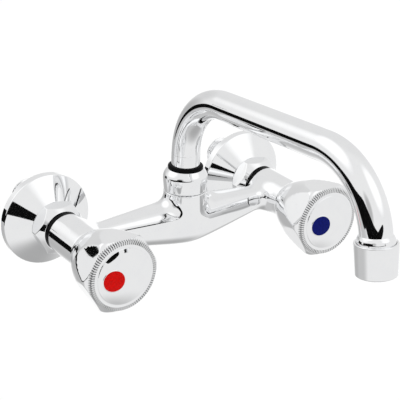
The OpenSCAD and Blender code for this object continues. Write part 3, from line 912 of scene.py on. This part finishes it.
@dataclass
class Spout:
    """The bent tube, with the ferrule and the aerator's sleeve at its end."""

    reach: float = 46.1
    tube_r: float = 9.0
    play: float = 0.005
    thinning: float = 0.1
    thinned_by: float = 60.0
    wall: float = 1.0
    base: float = 21.0
    bend_start: float = 43.9
    rise_bend: float = 42.0
    run_length: float = 90.8
    slope: float = 3.65
    drop_bend: float = 43.0
    lean: float = 7.0
    tuck: float = 4.0
    step: float = 1.4
    around: int = 128
    sleeve_r: float = 11.9
    sleeve_length: float = 18.0
    sleeve_floor: float = 2.2
    sleeve_bore: float = 9.6
    ferrule_r: float = 10.6
    ferrule_end: float = -11.0
    collar_end: float = 4.3
    collar_steps: Steps = (
        (1.4, -0.9, 0.05), (1.4, -0.2, 0.5), (1.35, 1, 2), (1, 2.4, 3), (0.35, 3.7, 1),
    )

    def path(self) -> tuple[Array, Array, Axis]:
        """Middle line of the tube in the upright plane: straight, bend, straight, bend, straight.

        Returns:
            Points (y, z), unit tangents, and the axis at the tube's end, pointing back up.
        """
        turns = math.radians(90 - self.slope), math.radians(90 + self.slope - self.lean)
        y0, up = -self.reach, np.array([0.0, 1.0])
        points = [np.array([[y0, self.base], [y0, self.bend_start - 0.01]])]
        tangents = [np.array([up, up])]

        def bend(centre: Array, radius: float, start: float, turn: float) -> None:
            """Adds an arc, centre + radius (cos a, sin a), from the start over the turn."""
            a = start + np.linspace(0, turn, int(radius * turn / self.step) + 1)
            points.append(centre + radius * np.stack([np.cos(a), np.sin(a)], 1))
            tangents.append(np.stack([-np.sin(a), np.cos(a)], 1))

        bend(np.array([y0 - self.rise_bend, self.bend_start]), self.rise_bend, 0.0, turns[0])
        top, heading = points[-1][-1], tangents[-1][-1]
        run = top + np.outer(np.linspace(0, 1, 24)[1:-1] * self.run_length, heading)
        points.append(run)
        tangents.append(np.repeat(heading[None], len(run), 0))
        spoke = np.array([math.cos(turns[0]), math.sin(turns[0])])
        centre = top + self.run_length * heading - self.drop_bend * spoke
        bend(centre, self.drop_bend, *turns)
        end, down = points[-1][-1], tangents[-1][-1]
        points.append((end + self.tuck * down)[None])
        tangents.append(down[None])
        lean = math.radians(self.lean)
        outlet = Axis(
            (0, float(end[0]), float(end[1])), (1, 0, 0),
            (0, math.cos(lean), -math.sin(lean)), (0, math.sin(lean), math.cos(lean)),
        )
        return np.concatenate(points), np.concatenate(tangents), outlet

    def tube(self, path: Array, tangent: Array) -> Object:
        """Returns the tube: a circle carried along the path, back along the bore and closed.

        A point is the path's point + r (cos a) across + r (sin a) in the bend's plane. The path's
        points and unit tangents are (y, z).
        """
        a = np.arange(self.around) * (FULL_TURN / self.around)
        side = np.array([1.0, 0.0, 0.0])
        normal = np.stack([np.zeros(len(path)), -tangent[:, 1], tangent[:, 0]], 1)
        centre = np.stack([np.zeros(len(path)), path[:, 0], path[:, 1]], 1)
        spokes = np.cos(a)[:, None, None] * side + np.sin(a)[:, None, None] * normal[None]
        bend = np.abs(np.gradient(np.unwrap(np.arctan2(tangent[:, 1], tangent[:, 0]))))
        thinned = self.thinning * np.minimum(1.0, bend * self.thinned_by)
        radius = (self.tube_r - self.play - thinned)[:, None]
        outer = centre[None] + radius * spokes
        inner = centre[None] + (radius - self.wall) * spokes
        points = np.concatenate([outer, inner[:, ::-1]], 1)
        normals = np.concatenate([spokes, -spokes[:, ::-1]], 1)
        faces = grid_faces(self.around, points.shape[1], True)[:, ::-1]
        return make_object("spout_pipe", points.reshape(-1, 3), faces, normals.reshape(-1, 3))

    def sleeve(self, outlet: Axis) -> Object:
        """Returns the aerator's sleeve, a cup with a recess round the tube at its top."""
        end, r = -self.sleeve_length, self.sleeve_r
        floor = end + self.sleeve_floor
        section = [
            (self.ferrule_r, 0, 0.3), (self.ferrule_r, floor, 0.1),
            (self.sleeve_bore, floor, 0.1), (self.sleeve_bore, end, 0.3), (r - 0.7, end, 0.9),
            (r, 0, 0.55),
        ]
        return turned("aerator_shell", outlet, section, 240)

    def ferrule(self, outlet: Axis) -> Object:
        """Returns the ferrule on the tube's end, swelling to a rounded collar above the sleeve."""
        inside, outside = self.tube_r - self.wall, self.ferrule_r - 0.02
        seat, collar = -self.tuck - 0.05, shifted(self.collar_steps, self.tube_r, 0.0)
        section = [
            (inside + 0.3, self.collar_end, 0), (inside + 0.3, seat, 0), (inside, seat, 0),
            (inside, self.ferrule_end, 0.1), (outside, self.ferrule_end, 0.1),
            (outside, collar[0][1], 0.05), *collar, (self.tube_r - 0.25, self.collar_end, 0.1),
        ]
        return turned("outlet_collar", outlet, section, 160)

    def build(self) -> None:
        """Builds and dresses the tube, the ferrule and the sleeve."""
        path, tangent, outlet = self.path()
        dress(self.tube(path, tangent), "spout", "chrome", CHROME, "spout_tube")
        dress(self.sleeve(outlet), "spout", "chrome", CHROME, "aerator_sleeve")
        dress(self.ferrule(outlet), "spout", "chrome", CHROME, "outlet_ferrule")


class InnerParts:
    """Construction nodes that keep their own shape and only take a finish."""

    FINISHES = {
        **dict.fromkeys(("bonnet", "spindle", "carrier", "jumper_screw", "spout_tail"), BRASS),
        **dict.fromkeys(("clip", "knob_screw"), STEEL), **dict.fromkeys(("seal", "gasket"), FIBRE),
        **dict.fromkeys(("stem_ring", "tail_ring", "jumper", "aerator_washer"), RUBBER),
        "aerator_core": WHITE_PLASTIC,
    }

    def build(self) -> None:
        """Gives every node that is still shown its finish."""
        for name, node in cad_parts.items():
            match = [k for k in self.FINISHES if name == k or name.startswith(k + "_")]
            finish = self.FINISHES[max(match, key=len)] if match else CHROME
            finish.paint(node)


# Studio


def matt(name: str, level: float, glow: float = 0.0) -> bpy.types.Material:
    """Returns a dull grey material of this level, with this much white glow."""
    material, shader, nodes = new_material(name)
    inputs = {"Base Color": (level, level, level, 1.0), "Roughness": 1.0}
    inputs |= {"Specular IOR Level": 0.0, "Emission Color": WHITE, "Emission Strength": glow}
    nodes.feed(shader, inputs)
    return material


def direction(azimuth: float, elevation: float) -> Triple:
    """Returns the unit direction, azimuth 0 towards the user and 90 towards +X, in degrees."""
    az, el = math.radians(azimuth), math.radians(elevation)
    return (math.sin(az) * math.cos(el), -math.cos(az) * math.cos(el), math.sin(el))


@dataclass
class Studio:
    """Pale floor, white surroundings, soft light and the camera of the photograph.

    Each patch of the surroundings has an azimuth, an elevation, an inner angle within which its
    level holds, an outer angle by which it has faded out, all in degrees, and its level.
    """

    azimuth: float = -34.94
    elevation: float = 23.19
    roll: float = 1.87
    lens: float = 116.56
    sensor: float = 36.0
    clip: Pair = (0.01, 50.0)
    place: Triple = (-0.41882, -0.66238, 0.33157)
    floor_height: float = -0.42
    floor_half: float = 6.0
    floor_level: float = 0.98
    floor_glow: float = 0.04
    flag_level: float = 0.004
    base_level: float = 0.86
    patches: tuple[tuple[float, ...], ...] = (
        (150, 35, 30, 60, 0.8), (0, -90, 8, 48, 0.42), (-130, -45, 22, 46, 0.57),
        (180, 6, 12, 32, 0.7), (-170, -18, 10, 30, 0.48), (-130, 43, 14, 34, 1.15),
        (28, 46, 14, 32, 1.12), (133, -10, 8, 24, 1.12), (150, -35, 5, 14, 1.05),
        (-58, 18, 5, 18, 0.5), (115, -44, 6, 16, 0.55),
    )
    flag_centre: Pair = (0.0, -0.12)
    flag_outline: Outline = (
        (-163, 0.55, -0.11, -0.09), (-156, 0.58, -0.12, 0.01), (-148, 0.65, -0.14, 0.032),
        (-140, 0.85, -0.245, 0.004), (-130, 0.85, -0.257, -0.018), (-120, 0.85, -0.255, 0),
        (-110, 0.8, -0.22, 0.06), (-100, 0.65, -0.134, 0.086), (-90, 0.5, -0.06, 0.118),
        (-82, 0.42, -0.05, 0.13), (-74, 0.4, -0.045, 0.152), (-67, 0.4, -0.04, 0.16),
        (-60, 0.4, -0.02, 0.145), (-50, 0.4, -0.003, 0.128), (-40, 0.4, 0, 0.1),
        (-30, 0.4, 0.01, 0.086), (-20, 0.4, 0.013, 0.076), (-10, 0.4, 0.024, 0.1),
        (0, 0.4, 0.056, 0.118), (6, 0.4, 0.08, 0.124), (9, 0.4, 0.1, 0.12),
    )
    card_outline: Outline = (
        (-144.7, 0.65, 0.0900, 0.0950), (-144.1, 0.65, 0.0872, 0.0975),
        (-142.7, 0.65, 0.0855, 0.0975), (-142.2, 0.65, 0.0880, 0.0955),
    )

    def camera(self) -> None:
        """Sets the camera: back, right and up directions from azimuth, elevation and roll."""
        az, roll = math.radians(self.azimuth), math.radians(self.roll)
        cos, sin = math.cos(roll), math.sin(roll)
        back = np.array(direction(self.azimuth, self.elevation))
        right = np.array([math.cos(az), math.sin(az), 0.0])
        up = np.cross(back, right)
        r, u = right * cos + up * sin, up * cos - right * sin
        data = bpy.data.cameras.new("camera")
        data.sensor_width, data.lens = self.sensor, self.lens
        data.clip_start, data.clip_end = self.clip
        camera = place_object("camera", data)
        rows = np.stack([r, u, back, self.place], 1).tolist()
        camera.matrix_world = Matrix([*rows, (0.0, 0.0, 0.0, 1.0)])
        bpy.context.scene.camera = camera

    def world(self) -> None:
        """Makes the surroundings: white to the camera and as light, softly patched in gloss.

        Each patch mixes its level in by how near the ray's direction is to the patch's own.
        """
        world = bpy.data.worlds.new("studio")
        bpy.context.scene.world = world
        world.use_nodes = True
        nodes = Nodes(world.node_tree)
        ray = nodes.add("TexCoord", "Generated")
        level: float | Socket = self.base_level
        for azimuth, elevation, inner, outer, patch in self.patches:
            inputs = {0: ray, 1: direction(azimuth, elevation)}
            near = nodes.add("VectorMath", "Value", inputs, operation="DOT_PRODUCT")
            limits = (math.cos(math.radians(a)) for a in (outer, inner))
            inputs = {"Value": near, **dict(zip(("From Min", "From Max"), limits))}
            share = nodes.add("MapRange", "Result", inputs, interpolation_type="SMOOTHSTEP")
            inputs = {"Factor": share, "A": level, "B": patch}
            level = nodes.add("Mix", "Result", inputs, data_type="FLOAT")
        inputs = {"Factor": nodes.add("LightPath", "Is Glossy Ray"), "A": 1.0, "B": level}
        strength = nodes.add("Mix", "Result", inputs, data_type="FLOAT")
        background = world.node_tree.nodes["Background"]
        nodes.feed(background, {"Strength": strength, "Color": WHITE})

    def floor(self) -> None:
        """Makes the pale floor, which only the camera and the light see."""
        d, h = self.floor_half, self.floor_height
        mesh = bpy.data.meshes.new("floor")
        mesh.from_pydata([(-d, -d, h), (d, -d, h), (d, d, h), (-d, d, h)], [], [(0, 1, 2, 3)])
        mesh.materials.append(matt("pale_floor", self.floor_level, self.floor_glow))
        floor = place_object("floor", mesh)
        floor.visible_glossy = False

    def flag(self) -> None:
        """Makes the black flag, a strip bent round the tap that only reflections see.

        A small card stands above it. Their outlines give, for azimuths round the centre, the
        distance and the two heights.
        """
        verts: list[list[float]] = []
        faces: list[tuple[int, int, int, int]] = []
        for outline, step in ((self.flag_outline, 1.0), (self.card_outline, 0.2)):
            rows = np.array(outline)
            azimuth = np.radians(np.arange(rows[0, 0], rows[-1, 0] + 0.5 * step, step))
            away, low, high = (
                np.interp(azimuth, np.radians(rows[:, 0]), rows[:, k]) for k in (1, 2, 3)
            )
            x = self.flag_centre[0] + away * np.sin(azimuth)
            y = self.flag_centre[1] - away * np.cos(azimuth)
            first, count = len(verts), len(azimuth)
            verts += np.stack([x, y, low], 1).tolist() + np.stack([x, y, high], 1).tolist()
            for i in range(first, first + count - 1):
                faces.append((i, i + 1, count + i + 1, count + i))
        mesh = bpy.data.meshes.new("black_flag")
        mesh.from_pydata(verts, [], faces)
        mesh.materials.append(matt("flag_cloth", self.flag_level))
        flag = place_object("black_flag", mesh)
        flag.visible_camera = flag.visible_diffuse = flag.visible_shadow = False

    def build(self) -> None:
        """Builds the whole studio."""
        bpy.context.scene.view_settings.view_transform = "Standard"
        self.camera()
        self.world()
        self.floor()
        self.flag()


def main() -> None:
    """Builds every sub-assembly in order, then the studio."""
    logging.basicConfig(level=logging.INFO, format="%(message)s")
    Casting().build()
    for side in Side:
        WallFitting(side).build()
        Handle(side).build()
    Swivel().build()
    Spout().build()
    InnerParts().build()
    Studio().build()


if __name__ == "__main__":
    main()
